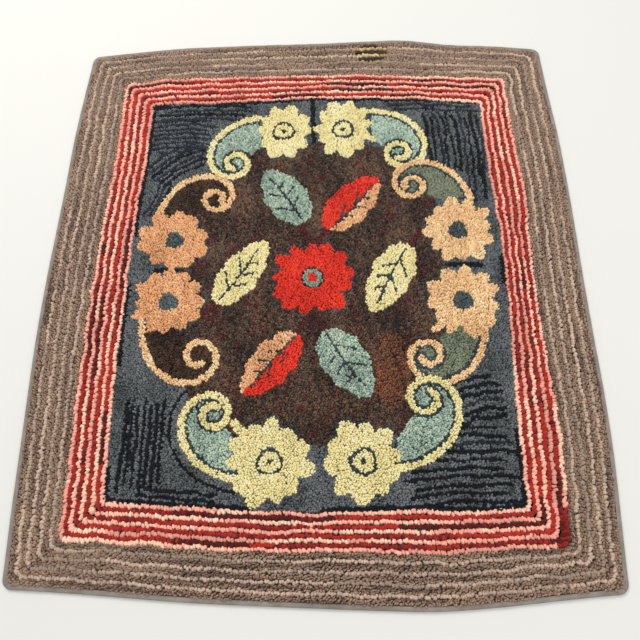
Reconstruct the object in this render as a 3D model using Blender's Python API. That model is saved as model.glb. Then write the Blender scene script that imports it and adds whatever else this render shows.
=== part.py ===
# Hooked rug: a jute foundation hooked with rows of wool loops, and a cotton tape that is
# folded round its rim in four lengths, mitred at the corners.
# Metres, +Z up. The rug lies flat on its back, pile up. The origin is the middle of its
# outline, on the surface that it rests on. The far side is +Y.

from collections import namedtuple
import math

import bmesh
import bpy
from mathutils import Vector, noise

# Heights of the hooked pile
BACK_THICKNESS = 0.0020      # foundation alone, at the rim
CREST = 0.0080               # top of a row of loops in the borders
GROOVE = 0.0064              # between two rows
FIELD_TOP = 0.0077           # the field, whose rows wind and so read as one lumpy face
PILE_EDGE = 0.0058           # outer side of the last row, where its loops lean out
UNEVEN = 0.0004              # how far the pile's top rises and falls
UNEVEN_LENGTH = 0.050        # how long those swells are

# The two borders round the field
BAND_ROWS = 9                # red and pink rows, next to the field
BORDER_ROWS = 9              # brown rows, out to the tape
FIELD_CORNER = 0.008         # corner radius of the innermost row
RIM_CORNER = 0.014           # corner radius of the rim
CORNER_TIGHTENING = 0.4      # how much of an inset comes off the corner radius

# The binding tape, folded round the rim
TAPE = 0.0013                # thickness
TAPE_FRONT = 0.0070          # width that shows on the front
TAPE_BACK = 0.0240           # width turned under
FOLD = 0.0026                # radius of the rolled edge
GAP = 0.0003                 # between two pieces

# A worn place in the far brown border, where loops are missing
WORN_CENTRE = (0.1130, 0.5070)
WORN_SIZE = (0.042, 0.022)   # half its length and half its width
WORN_DEPTH = 0.0030

# How finely the outline is cut
ACROSS_STEPS = 16            # steps along the near and the far side, between the corners
ALONG_STEPS = 18             # steps along the left and the right side
CORNER_ANGLES = (45.0, 67.5, 90.0)
SHARP_ANGLE = 60.0           # edges that turn more than this are shaded sharp

# The outline is hand drawn on the foundation, so no side is straight. Each table goes
# along one side in even steps, from its left or near corner, and gives how far the edge
# of the field, the edge of the red band and the rim lie from the field's centre.
Station = namedtuple("Station", "field band rim")

NEAR_SIDE = (
    Station(0.3723, 0.4300, 0.4960),
    Station(0.3760, 0.4320, 0.5000),
    Station(0.3790, 0.4365, 0.5060),
    Station(0.3820, 0.4410, 0.5120),
    Station(0.3853, 0.4442, 0.5156),
    Station(0.3860, 0.4432, 0.5185),
    Station(0.3850, 0.4430, 0.5210),
    Station(0.3823, 0.4460, 0.5220),
    Station(0.3830, 0.4445, 0.5155),
    Station(0.3835, 0.4380, 0.5060),
    Station(0.3800, 0.4360, 0.4980),
)

FAR_SIDE = (
    Station(0.3810, 0.4350, 0.5080),
    Station(0.3830, 0.4445, 0.5180),
    Station(0.3835, 0.4475, 0.5270),
    Station(0.3860, 0.4487, 0.5305),
    Station(0.3890, 0.4497, 0.5330),
    Station(0.3925, 0.4500, 0.5345),
    Station(0.3905, 0.4512, 0.5380),
    Station(0.3900, 0.4478, 0.5400),
    Station(0.3885, 0.4430, 0.5270),
    Station(0.3820, 0.4402, 0.5210),
    Station(0.3770, 0.4380, 0.5120),
)

LEFT_SIDE = (
    Station(0.3170, 0.3780, 0.4520),
    Station(0.3190, 0.3790, 0.4570),
    Station(0.3223, 0.3815, 0.4610),
    Station(0.3230, 0.3840, 0.4650),
    Station(0.3230, 0.3860, 0.4680),
    Station(0.3230, 0.3850, 0.4680),
    Station(0.3230, 0.3835, 0.4660),
    Station(0.3220, 0.3797, 0.4640),
    Station(0.3170, 0.3770, 0.4630),
    Station(0.3160, 0.3780, 0.4585),
    Station(0.3170, 0.3780, 0.4530),
)

RIGHT_SIDE = (
    Station(0.3220, 0.3800, 0.4550),
    Station(0.3230, 0.3850, 0.4600),
    Station(0.3220, 0.3880, 0.4650),
    Station(0.3260, 0.3840, 0.4660),
    Station(0.3280, 0.3810, 0.4640),
    Station(0.3300, 0.3800, 0.4630),
    Station(0.3287, 0.3804, 0.4630),
    Station(0.3255, 0.3837, 0.4620),
    Station(0.3210, 0.3775, 0.4590),
    Station(0.3185, 0.3727, 0.4526),
    Station(0.3190, 0.3710, 0.4480),
)

SIDES = {"near": NEAR_SIDE, "right": RIGHT_SIDE, "far": FAR_SIDE, "left": LEFT_SIDE}

# A line runs round the rug: its distance from the field's centre at every station of
# every side, and the radius of its corners.
Line = namedtuple("Line", "distances corner")

Finish = namedtuple("Finish", "name colour roughness")
WOOL = Finish("hooked wool loops", (0.20, 0.09, 0.06), 0.95)
TAPE_COTTON = Finish("cotton binding tape", (0.26, 0.23, 0.19), 0.85)


def remove_scene_objects():
    for old in list(bpy.data.objects):
        bpy.data.objects.remove(old, do_unlink=True)


def mix(low, high, share):
    return low + (high - low) * share


def line_at_row(row):
    """Return the line that lies row rows out from the field, in either border."""
    distances = {}
    for side, stations in SIDES.items():
        if row <= BAND_ROWS:
            share = row / BAND_ROWS
            distances[side] = [mix(s.field, s.band, share) for s in stations]
        else:
            share = (row - BAND_ROWS) / BORDER_ROWS
            inset = TAPE_FRONT + GAP
            distances[side] = [mix(s.band, s.rim - inset, share) for s in stations]
    rim_corner = RIM_CORNER - CORNER_TIGHTENING * TAPE_FRONT
    corner = mix(FIELD_CORNER, rim_corner, row / (BAND_ROWS + BORDER_ROWS))
    return Line(distances, corner)


def line_inside_rim(inset):
    """Return the line that follows the rim at this distance inside it."""
    distances = {}
    for side, stations in SIDES.items():
        distances[side] = [s.rim - inset for s in stations]
    return Line(distances, RIM_CORNER - CORNER_TIGHTENING * inset)


def smooth_value(values, share):
    """Read a smooth curve through evenly spaced values, share of the way along them."""
    place = min(max(share, 0.0), 1.0) * (len(values) - 1)
    at = min(int(place), len(values) - 2)
    part = place - at
    before = values[max(at - 1, 0)]
    start = values[at]
    end = values[at + 1]
    after = values[min(at + 2, len(values) - 1)]
    bend = (2 * before - 5 * start + 4 * end - after) * part ** 2
    twist = (3 * start - before - 3 * end + after) * part ** 3
    return start + 0.5 * ((end - before) * part + bend + twist)


def side_point(line, side, share, drop):
    """Return a point on one side, drop inside the line, for a rounded corner."""
    near = line.distances["near"]
    far = line.distances["far"]
    left = line.distances["left"]
    right = line.distances["right"]
    out = smooth_value(line.distances[side], share) - drop
    if side == "near":
        return mix(-left[0], right[0], share), -out
    if side == "far":
        return mix(-left[-1], right[-1], share), out
    if side == "left":
        return -out, mix(-near[0], far[0], share)
    return out, mix(-near[-1], far[-1], share)


def side_points(line, side, end_gap=0.0):
    """Return the points of one side, from corner to corner, left to right or near to far."""
    ends = ("left", "right") if side in ("near", "far") else ("near", "far")
    at = 0 if side in ("near", "left") else -1
    length = line.distances[ends[0]][at] + line.distances[ends[1]][at]
    arc = []
    for angle in CORNER_ANGLES:
        along = line.corner * (1 - math.cos(math.radians(angle)))
        drop = line.corner * (1 - math.sin(math.radians(angle)))
        arc.append((along / length, drop))
    steps = ACROSS_STEPS if side in ("near", "far") else ALONG_STEPS
    first = arc[-1][0]
    middle = [(mix(first, 1 - first, step / steps), 0.0) for step in range(1, steps)]
    arc[0] = (arc[0][0] + end_gap / length, arc[0][1])
    places = arc + middle + [(1 - along, drop) for along, drop in reversed(arc)]
    return [side_point(line, side, share, drop) for share, drop in places]


def ring_points(line):
    """Return a line's points all the way round, counterclockwise from its near left corner."""
    points = side_points(line, "near")[:-1]
    points += side_points(line, "right")[:-1]
    points += side_points(line, "far")[:0:-1]
    points += side_points(line, "left")[:0:-1]
    return points


def outline_centre():
    """Return the middle of the rim's box, measured from the field's centre."""
    rim = ring_points(line_inside_rim(0.0))
    across = [point[0] for point in rim]
    along = [point[1] for point in rim]
    return (min(across) + max(across)) / 2, (min(along) + max(along)) / 2


def pile_height(point, height):
    """Return a height of the pile's top, with its swells and the worn place."""
    swell = noise.noise(Vector((point[0], point[1], 0.0)) / UNEVEN_LENGTH)
    across = (point[0] - WORN_CENTRE[0]) / WORN_SIZE[0]
    along = (point[1] - WORN_CENTRE[1]) / WORN_SIZE[1]
    wear = max(0.0, 1 - across ** 2 - along ** 2)
    return height + UNEVEN * swell - WORN_DEPTH * min(1.0, 2 * wear)


def make_finish(finish):
    material = bpy.data.materials.new(finish.name)
    material.use_nodes = True
    shader = material.node_tree.nodes["Principled BSDF"]
    shader.inputs["Base Color"].default_value = (*finish.colour, 1.0)
    shader.inputs["Roughness"].default_value = finish.roughness
    shader.inputs["Metallic"].default_value = 0.0
    return material


def make_piece(name, work, finish):
    """Turn a bmesh into a named object with its own material, shaded smooth."""
    mesh = bpy.data.meshes.new(name)
    work.to_mesh(mesh)
    work.free()
    mesh.shade_smooth()
    mesh.set_sharp_from_angle(angle=math.radians(SHARP_ANGLE))
    mesh.materials.append(make_finish(finish))
    piece = bpy.data.objects.new(name, mesh)
    bpy.context.scene.collection.objects.link(piece)
    return piece


def add_ring(work, points, heights, centre):
    ring = []
    for point, height in zip(points, heights):
        ring.append(work.verts.new((point[0] - centre[0], point[1] - centre[1], height)))
    return ring


def join_rings(work, inner, outer):
    """Join two closed rings with faces; inner is on the left of the way round."""
    count = len(inner)
    for at in range(count):
        after = (at + 1) % count
        work.faces.new((inner[at], outer[at], outer[after], inner[after]))


def fill_field(work, edge, centre):
    """Fill the field inside its edge with a grid that bends with the four sides."""
    across = ACROSS_STEPS + 2 * (len(CORNER_ANGLES) - 1)
    along = ALONG_STEPS + 2 * (len(CORNER_ANGLES) - 1)
    near = edge[:across + 1]
    right = edge[across:across + along + 1]
    far = edge[across + along:2 * across + along + 1][::-1]
    left = (edge[2 * across + along:] + edge[:1])[::-1]

    grid = {}
    for i in range(across + 1):
        grid[i, 0] = near[i]
        grid[i, along] = far[i]
    for j in range(along + 1):
        grid[0, j] = left[j]
        grid[across, j] = right[j]

    width = near[-1].co.x - near[0].co.x
    depth = left[-1].co.y - left[0].co.y
    for i in range(1, across):
        u = (near[i].co.x - near[0].co.x) / width
        for j in range(1, along):
            v = (left[j].co.y - left[0].co.y) / depth
            between_rows = mix(near[i].co, far[i].co, v)
            between_columns = mix(left[j].co, right[j].co, u)
            near_edge = mix(near[0].co, near[-1].co, u)
            far_edge = mix(far[0].co, far[-1].co, u)
            place = between_rows + between_columns - mix(near_edge, far_edge, v)
            from_field = (place.x + centre[0], place.y + centre[1])
            height = pile_height(from_field, FIELD_TOP)
            grid[i, j] = work.verts.new((place.x, place.y, height))

    for i in range(across):
        for j in range(along):
            corners = (grid[i, j], grid[i + 1, j], grid[i + 1, j + 1], grid[i, j + 1])
            work.faces.new(corners)


def make_rug_body(centre):
    """Make the foundation and its pile: the field, the raised rows, and the bare lip."""
    work = bmesh.new()
    rows = BAND_ROWS + BORDER_ROWS
    rings = []
    for half_row in range(2 * rows + 1):
        row = half_row / 2
        height = CREST if half_row % 2 else GROOVE
        if half_row == 2 * rows:
            height = PILE_EDGE
        points = ring_points(line_at_row(row))
        heights = [pile_height(point, height) for point in points]
        rings.append(add_ring(work, points, heights, centre))

    lip_under = TAPE + GAP
    lip_top = lip_under + BACK_THICKNESS
    pile_side = ring_points(line_at_row(rows))
    lip_edge = ring_points(line_inside_rim(TAPE + GAP))
    lip_foot = ring_points(line_inside_rim(TAPE_BACK + GAP))
    back_edge = ring_points(line_inside_rim(TAPE_BACK + lip_under))
    for points, height in (
        (pile_side, lip_top),
        (lip_edge, lip_top),
        (lip_edge, lip_under),
        (lip_foot, lip_under),
        (back_edge, 0.0),
    ):
        rings.append(add_ring(work, points, [height] * len(points), centre))

    for inner, outer in zip(rings, rings[1:]):
        join_rings(work, inner, outer)
    fill_field(work, rings[0], centre)
    work.faces.new(rings[-1][::-1])
    return make_piece("rug_body", work, WOOL)


def tape_profile():
    """Return the folded tape's section as insets from the rim and heights, anticlockwise."""
    top = 2 * FOLD
    profile = [(TAPE_BACK, TAPE), (TAPE_BACK, 0.0)]
    for angle in (270, 225, 180, 135, 90):
        inset = FOLD + FOLD * math.cos(math.radians(angle))
        height = FOLD + FOLD * math.sin(math.radians(angle))
        profile.append((inset, height))
    profile += [(TAPE_FRONT, top), (TAPE_FRONT, top - TAPE), (TAPE, top - TAPE), (TAPE, TAPE)]
    return profile


def make_binding(side, centre):
    """Make one length of tape, from mitre to mitre."""
    work = bmesh.new()
    end_gap = GAP / math.sqrt(2)
    threads = []
    for inset, height in tape_profile():
        points = side_points(line_inside_rim(inset), side, end_gap)
        threads.append(add_ring(work, points, [height] * len(points), centre))
    for thread, after in zip(threads, threads[1:] + threads[:1]):
        for at in range(len(thread) - 1):
            work.faces.new((thread[at], after[at], after[at + 1], thread[at + 1]))
    work.faces.new([thread[0] for thread in threads])
    work.faces.new([thread[-1] for thread in reversed(threads)])
    bmesh.ops.recalc_face_normals(work, faces=work.faces)
    return make_piece("binding_" + side, work, TAPE_COTTON)


def make_rug():
    remove_scene_objects()
    centre = outline_centre()
    make_rug_body(centre)
    for side in SIDES:
        make_binding(side, centre)


make_rug()
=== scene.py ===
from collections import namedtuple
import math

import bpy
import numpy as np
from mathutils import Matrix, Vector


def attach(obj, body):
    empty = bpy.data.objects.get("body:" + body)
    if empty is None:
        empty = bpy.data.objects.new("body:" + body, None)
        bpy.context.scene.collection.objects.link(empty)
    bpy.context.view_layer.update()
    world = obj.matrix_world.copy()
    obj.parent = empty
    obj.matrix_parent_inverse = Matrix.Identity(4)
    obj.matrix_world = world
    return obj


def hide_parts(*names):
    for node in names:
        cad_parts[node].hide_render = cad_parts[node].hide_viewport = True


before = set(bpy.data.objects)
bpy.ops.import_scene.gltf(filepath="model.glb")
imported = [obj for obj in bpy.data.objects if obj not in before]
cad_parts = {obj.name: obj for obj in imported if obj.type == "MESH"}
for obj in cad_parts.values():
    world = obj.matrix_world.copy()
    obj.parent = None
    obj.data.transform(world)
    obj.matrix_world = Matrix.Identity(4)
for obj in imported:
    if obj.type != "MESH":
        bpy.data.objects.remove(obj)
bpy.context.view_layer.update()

# Hooked wool rug, lying flat and seen from above. Every loop of the pile is modelled: the
# rows of the two borders run round the rug, and the field is filled closely, so that its
# flowers, leaves and scrolls show by the colour of their yarn. Sizes are in metres, but
# the drawing of the field is in millimetres from its middle, +X right and +Y away.

LOOP_SEED = 1931
chance = np.random.default_rng(LOOP_SEED)

# Sizes of the pile
CLOTH_TOP = 0.0020           # top of the jute foundation
CLOTH_LOW = 0.0002           # its underside
LOOP_TOP = 0.0078            # usual height of a loop
LOOP_UNEVEN = 0.00055        # how much single loops differ in height
TUFT = 0.0037                # from loop to loop in the field
TUFT_SHIFT = 0.00065         # how far they stand from an even pattern
TUFT_WIDE = 0.72             # half width of a loop, as a share of its spacing
BORDER_STEP = 0.0043         # from loop to loop in the red, pink and tan rows
BROWN_STEP = 0.0040          # from loop to loop in the brown rows
BROWN_LINES = 3              # lines of loops in a brown row
BORDER_SHIFT = 0.0007        # how far loops stand out of a border row
ZIGZAG = 0.0004              # how far every second loop stands out besides
SLANT = 0.45                 # how far border loops are turned, in radians
TURN_UNEVEN = 0.4            # how much that differs from loop to loop
SLIP = 0.3                   # how far they stand along the row, as a share of the step
BORDER_ALONG = (0.64, 0.92)  # half length of a border loop, as a share of the step
BORDER_ACROSS = (0.52, 0.72)  # half its width, as a share of the row's
FIELD_SIZES = (0.88, 1.14)   # smallest and largest field loop
LEAN = 0.0004                # how far a loop's top leans
LUMP = 0.00042               # unevenness of each loop's own shape
FOOT = 0.1                   # share of a loop's height that stays even, in the cloth

# Tones of the loops, from 0, a dark stretch of yarn, to 1, a light one
USUAL_TONE = 0.52
FIELD_TONES = 0.17           # how much field loops differ
ROW_TONES = 0.12             # how much border loops differ within a stretch
STRETCH = (5, 34)            # fewest loops in a stretch of one tone, and one past the most
DARK_TONE = 0.12
DARK_SHARE = 0.15            # share of the stretches that are dark
STRETCH_TONES = (0.35, 0.85)  # tones of the others

# Slow variations over the rug: how much, over what length, and which random pattern
Slow = namedtuple("Slow", "size length pattern")
SWELL = Slow(0.00035, 0.060, 5)        # rise and fall of the whole pile
BORDER_SWAY = Slow(0.0011, 0.05, 11)   # how far the border rows wander together
LONE_SWAY = Slow(0.0004, 0.02, 20)     # how far each row wanders by itself
BLOTCHES = Slow(0.16, 0.09, 31)        # tones of the field, broadly
SPECKS = Slow(0.12, 0.018, 32)         # and finely
REDDENING = Slow(1.0, 0.05, 35)        # where the oval is redder
FILL_ACROSS = Slow(0.001, 0.04, 51)    # how far the field's loops wander
FILL_ALONG = Slow(0.001, 0.04, 52)
TAPE_WAVES = Slow(0.00022, 0.03, 60)   # waves of the sewn tape
EDGE_CHANGE = Slow(1.0, 0.3, 71)       # where the field's edge row is navy

# Borders and tape
BAND_ROWS = 9
BORDER_ROWS = 9
BROWN_SHARE = 0.132          # a brown row's part of the outer border
TAN_SHARE = 0.085            # a tan row's part
FIELD_CORNER = 0.008
RIM_CORNER = 0.014
CORNER_TIGHTENING = 0.4
TAPE = 0.0013
TAPE_FRONT = 0.0070
TAPE_BACK = 0.0240
FOLD = 0.0026
FOLD_STEPS = 8
FLAT_BACK = 0.014            # the tape's back is flat from here inwards
CROWN = (0.0042, 0.0056)     # its front is highest from here to here
CROWN_RISE = 0.0002
TAPE_STEPS = 110
GAP = 0.0003
CLOTH_STEPS = 40             # steps along each side of the foundation
CLOTH_RING = 0.060           # rings of its mesh, inside the rim
CLOTH_INNER_RING = 0.12
SIDE_STEPS = 150             # steps along each side of a border row
CORNER_ANGLES = (45.0, 60.0, 75.0, 90.0)

# Distances from the field's centre to the field's edge, the red band's edge and the rim,
# in even steps along each side from its left or near corner.
Station = namedtuple("Station", "field band rim")

NEAR_SIDE = (
    Station(0.3723, 0.4300, 0.4960),
    Station(0.3760, 0.4320, 0.5000),
    Station(0.3790, 0.4365, 0.5060),
    Station(0.3820, 0.4410, 0.5120),
    Station(0.3853, 0.4442, 0.5156),
    Station(0.3860, 0.4432, 0.5185),
    Station(0.3850, 0.4430, 0.5210),
    Station(0.3823, 0.4460, 0.5220),
    Station(0.3830, 0.4445, 0.5155),
    Station(0.3835, 0.4380, 0.5060),
    Station(0.3800, 0.4360, 0.4980),
)

FAR_SIDE = (
    Station(0.3810, 0.4350, 0.5080),
    Station(0.3830, 0.4445, 0.5180),
    Station(0.3835, 0.4475, 0.5270),
    Station(0.3860, 0.4487, 0.5305),
    Station(0.3890, 0.4497, 0.5330),
    Station(0.3925, 0.4500, 0.5345),
    Station(0.3905, 0.4512, 0.5380),
    Station(0.3900, 0.4478, 0.5400),
    Station(0.3885, 0.4430, 0.5270),
    Station(0.3820, 0.4402, 0.5210),
    Station(0.3770, 0.4380, 0.5120),
)

LEFT_SIDE = (
    Station(0.3170, 0.3780, 0.4520),
    Station(0.3190, 0.3790, 0.4570),
    Station(0.3223, 0.3815, 0.4610),
    Station(0.3230, 0.3840, 0.4650),
    Station(0.3230, 0.3860, 0.4680),
    Station(0.3230, 0.3850, 0.4680),
    Station(0.3230, 0.3835, 0.4660),
    Station(0.3220, 0.3797, 0.4640),
    Station(0.3170, 0.3770, 0.4630),
    Station(0.3160, 0.3780, 0.4585),
    Station(0.3170, 0.3780, 0.4530),
)

RIGHT_SIDE = (
    Station(0.3220, 0.3800, 0.4550),
    Station(0.3230, 0.3850, 0.4600),
    Station(0.3220, 0.3880, 0.4650),
    Station(0.3260, 0.3840, 0.4660),
    Station(0.3280, 0.3810, 0.4640),
    Station(0.3300, 0.3800, 0.4630),
    Station(0.3287, 0.3804, 0.4630),
    Station(0.3255, 0.3837, 0.4620),
    Station(0.3210, 0.3775, 0.4590),
    Station(0.3185, 0.3727, 0.4526),
    Station(0.3190, 0.3710, 0.4480),
)

SIDES = {"near": NEAR_SIDE, "right": RIGHT_SIDE, "far": FAR_SIDE, "left": LEFT_SIDE}

# Yarns: the usual shade, that of a light stretch, how dark a dark stretch is beside the usual one,
# and how much of the yarn is flecked.
Yarn = namedtuple("Yarn", "usual light dark fleck_share")

YARNS = {
    "brown_border": Yarn("#957864", "#ad8f74", 0.60, 0.25),
    "tan_border": Yarn("#b69d89", "#d0b49c", 0.70, 0.20),
    "red_band": Yarn("#a22018", "#ba2c1e", 0.25, 0.25),
    "pink_band": Yarn("#f8a890", "#f8d4b4", 0.78, 0.12),
    "slate_ground": Yarn("#5e6262", "#787978", 0.50, 0.30),
    "navy_ground": Yarn("#070b14", "#101724", 0.50, 0.35),
    "dusk_ground": Yarn("#22262f", "#363a44", 0.50, 0.30),
    "brown_ground": Yarn("#503c30", "#785c46", 0.28, 0.35),
    "rust_ground": Yarn("#7e482c", "#965838", 0.55, 0.30),
    "outline_slate": Yarn("#384442", "#4e5a58", 0.45, 0.30),
    "disc_slate": Yarn("#4c5856", "#687470", 0.50, 0.30),
    "scroll_brown": Yarn("#402a1c", "#64442c", 0.30, 0.35),
    "cream": Yarn("#f6e6a2", "#f6ecc0", 0.82, 0.15),
    "peach": Yarn("#f6c68e", "#f8e2b0", 0.78, 0.15),
    "salmon": Yarn("#eaaa74", "#f8c494", 0.78, 0.18),
    "orange": Yarn("#ecb07c", "#f8d0a0", 0.80, 0.15),
    "red_flower": Yarn("#e4321e", "#f4462c", 0.74, 0.15),
    "wine": Yarn("#562420", "#6a2c26", 0.55, 0.25),
    "sage": Yarn("#a4b8a4", "#ccd8be", 0.60, 0.22),
    "olive": Yarn("#7a826a", "#8e9278", 0.60, 0.25),
    "ring_green": Yarn("#929f8f", "#a5b09f", 0.70, 0.20),
    "worn_jute": Yarn("#cdb07c", "#e2cc9c", 0.65, 0.20),
}
FLECK_SHADE = 0.85           # how dark a fleck is beside a dark stretch

RED_SHARE = 0.3              # share of wine red loops in the redder patches of the oval
RED_LEVEL = 0.35             # it is redder where its slow change is above this

# Parts of the field that mix several yarns, with the share of each
MIXES = {
    "medallion": (("brown_ground", 0.93), ("scroll_brown", 0.07)),
    "halo": (("outline_slate", 0.60), ("brown_ground", 0.40)),
    "rust": (("rust_ground", 0.66), ("brown_ground", 0.34)),
}
PARTS = ("outside", "medallion", "halo", "rust") + tuple(YARNS)

# Flowers: the yarn, the middle, how far the petals reach, how many there are, how far the
# first one is turned, how much narrower it is than long, and what is at the heart
Flower = namedtuple("Flower", "yarn centre reach petals turn narrow heart")

FLOWERS = (
    Flower("cream", (-60, 315), 68, 10, 0, 0.24, "ring"),
    Flower("cream", (54, 318), 69, 11, 10, 0.20, "ring"),
    Flower("cream", (-66, -312), 69, 11, 20, 0.0, "ring"),
    Flower("cream", (80, -311), 66, 10, 10, 0.0, "ring"),
    Flower("salmon", (-249, 79), 64, 10, 15, 0.0, "disc"),
    Flower("salmon", (-249, -41), 64, 12, 0, 0.0, "disc"),
    Flower("peach", (255, 96), 67, 12, 5, 0.0, "disc"),
    Flower("peach", (254, -41), 65, 11, 20, 0.0, "disc"),
    Flower("red_flower", (-2, 4), 75, 13, 10, 0.0, "eye"),
)
PAIRS = ((0, 1, 66), (4, 5, 28), (6, 7, 36))   # two flowers, and half the row between them
PETAL_SEED = 40              # the first flower's; the others follow on
CORE = 0.72                  # how far in the petals part, as a share of their reach
PETAL_POINT = 1.7            # lower makes the petals more pointed
PETAL_REACH = (0.88, 1.08)   # shortest and longest petal, as a share of the reach
PETAL_SPREAD = (0.46, 0.70)  # half a petal's angle, as a share of the angle for each
PETAL_SHIFT = 0.16           # how far a petal is turned out of its place, likewise

RING_RADIUS = 19             # dark ring in the cream flowers
RING_HALF = 2.3
DOT_RADIUS = 5
DISC_RADIUS = 16.5           # dark middle of the side flowers
EYE_RADII = (("scroll_brown", 20.0), ("ring_green", 17.0), ("red_flower", 8.5))
HALO = 6.0

# Leaves: base, tip, half the width, the yarns on the left and right, where they part
# across the leaf, and the yarn of the veins
Leaf = namedtuple("Leaf", "base tip half_width left right part veins")

LEAVES = (
    Leaf((-17, 114), (-90, 226), 38, "sage", "sage", 0.0, "outline_slate"),
    Leaf((22, 101), (116, 208), 37, "red_flower", "orange", -0.20, "outline_slate"),
    Leaf((-165, -45), (-85, 76), 34, "cream", "cream", 0.0, "outline_slate"),
    Leaf((166, 68), (98, -60), 36, "cream", "cream", 0.0, "outline_slate"),
    Leaf((-25, -101), (-112, -204), 35, "red_flower", "orange", -0.05, "outline_slate"),
    Leaf((19, -95), (92, -208), 38, "sage", "sage", 0.0, "outline_slate"),
)

SHOULDER = 0.85              # under 1, a leaf is widest nearer its base
FULLNESS = 0.55              # lower makes its ends blunter
LOBE = 0.06                  # how far its lobes stand out
LOBES = 3.6                  # how many there are on a side
VEIN_HALF = 1.9
SIDE_VEIN = 0.9              # a side vein's width, as a share of the main one's
SPLIT_REACH = (0.55, 0.8)    # side veins of a two-coloured leaf are shorter, left and right
# The main vein: how far along the leaf and how far across
SPINE = ((0.06, 0.0), (0.35, -0.03), (0.62, 0.0), (0.86, 0.10))
# Side veins: where they leave the main one, how far along and across they reach
SIDE_VEINS = ((0.22, 0.40, 0.70), (0.48, 0.64, 0.60), (0.28, 0.40, -0.55),
              (0.46, 0.56, -0.58), (0.64, 0.70, -0.40))

# Scrolls: the yarn of the outline, of the space inside, whether a dark row lines it, where
# the outline leaves the flower and which way it heads, how far it turns in all (left is
# positive), its length, and the place behind the flower that closes the space inside
Scroll = namedtuple("Scroll", "outline fill lined start heading turn length back")

SCROLLS = (
    Scroll("cream", "sage", True, (-108, 346), 188, 520, 335, (-94, 285)),
    Scroll("cream", "sage", True, (104, 360), 2, -570, 355, (104, 300)),
    Scroll("peach", "scroll_brown", False, (-282, 128), 82, -560, 340, (-235, 118)),
    Scroll("peach", "olive", True, (283, 160), 102, 550, 340, (240, 155)),
    Scroll("peach", "scroll_brown", False, (-290, -78), -90, 480, 335, (-235, -85)),
    Scroll("peach", "olive", True, (286, -78), -87, -530, 345, (235, -85)),
    Scroll("cream", "sage", True, (-114, -338), 176, -570, 355, (-120, -285)),
    Scroll("cream", "sage", True, (128, -322), 4, 510, 365, (130, -280)),
)
CURL = 3.2                   # how much faster a scroll turns towards its end
EVEN_TURN = 0.30             # share of its turn that is spread evenly instead
CURL_STEP = 3                # from point to point along it
SCROLL_HALF = 5.8            # half the width of its outline
SCROLL_UNEVEN = 0.1          # how much that swells and thins
SWELL_PACE = 0.35
LINING = 4.2

# The ground under the flowers: a brown oval, with a rust patch, on slate
OVAL_HALF = (234, 288)
OVAL_POWER = 3.0
RUST_CENTRE = (130, -162)
RUST_HALF = (30, 66)

# Short bands of yarn over the ground: the yarn, half the width and the points
Streak = namedtuple("Streak", "yarn half points")

LINKS = (
    Streak("wine", 5, ((-24, 112), (-4, 74))),
    Streak("wine", 5, ((28, 112), (8, 74))),
    Streak("wine", 5, ((-32, -104), (-8, -70))),
    Streak("wine", 5, ((26, -98), (6, -70))),
    Streak("wine", 6, ((190, 92), (162, 56))),
    Streak("wine", 6, ((-190, -66), (-164, -42))),
    Streak("peach", 7, ((203, -92), (226, -74))),
    Streak("cream", 8, ((-122, -252), (-104, -276))),
    Streak("cream", 6, ((110, 292), (96, 306))),
)

# Patches of the slate that are hooked in rows of their own, some in darker yarn: the middle,
# half the length of the rows, half the height of the stack, the way the rows run in
# degrees, from row to row, how far they bow, and the shares of navy and dusky rows
Patch = namedtuple("Patch", "middle half_row half_stack turn pitch bow navy dusk")

PATCHES = (
    Patch((-212, 362), 100, 20, 0, 10.0, 4, 0.60, 0.40),
    Patch((-250, 302), 62, 38, 0, 10.5, 5, 0.55, 0.45),
    Patch((-256, 236), 62, 28, 35, 10.5, 10, 0.55, 0.45),
    Patch((-292, 165), 44, 12, 70, 9.0, -4, 0.60, 0.30),
    Patch((225, 370), 90, 10, -3, 10.0, 3, 0.60, 0.30),
    Patch((257, 285), 76, 52, 94, 11.0, -6, 0.60, 0.35),
    Patch((300, 200), 50, 14, 90, 9.0, 3, 0.40, 0.30),
    Patch((-271, -283), 78, 33, 90, 10.0, 0, 1.00, 0.00),
    Patch((-205, -365), 70, 12, -4, 10.0, 0, 0.60, 0.20),
    Patch((262, -215), 44, 34, 12, 13.0, 6, 0.65, 0.15),
    Patch((228, -320), 88, 56, 3, 12.5, 5, 0.70, 0.15),
)
PATCH_SEED = 64
ROW_REACH = (0.72, 1.0)      # shortest and longest end of a row, as a share of half_row
NAVY_HALF = (2.2, 3.8)       # half the width of a navy row, from and to
DUSK_HALF = (2.2, 3.2)       # the same of a dusky one
ROW_POINTS = 7               # places along a row where it may sway
ROW_SWAY = 0.20              # how far it does, as a share of the pitch
PAIR_HALF = 4.5              # half the width of the navy row between two flowers
EDGE_ROW = 6.0               # width of the row next to the red band
EDGE_LEVEL = -0.15           # it is navy where its slow change is above this
EDGE_SKIP = 6                # every sixth point of the field's edge is enough for it
ECHO = (11.0, 16.0)          # a navy row follows a scroll, from and to outside its edge
ECHOED_SCROLLS = (6,)

# Pink rows that turn red towards the near right corner: to the right of the first number,
# nearer than the second, and where both together are below the third
OUTER_PINK_ROWS = (8,)
RED_CORNER = (0.360, -0.300, 0.0)
WIDEST_LOOP = 0.0105

# A worn place in the far border: brown loops are mostly gone, their stubs in a dark brown yarn as
# painted shade in the gaps, and tan ones rubbed pale
WORN_CENTRE = (0.112, 0.505)
WORN_HALF = (0.034, 0.024)
GONE = 0.4                   # how much of a brown loop's height is left there
RUBBED = 0.85                # the same of a tan loop

# Finishes: how fine the noises are, and the painted shade down between the loops: the heights where
# it is darkest and where it ends, and how dark it is
FLECK_SCALE = 330.0
FIBRE_SCALE = 700.0
FLUFF_SCALE = 1300.0
PAINTED_SHADE_FROM = 0.0042
PAINTED_SHADE_TO = 0.0068
DEEPEST_PAINTED_SHADE = 0.68

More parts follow.
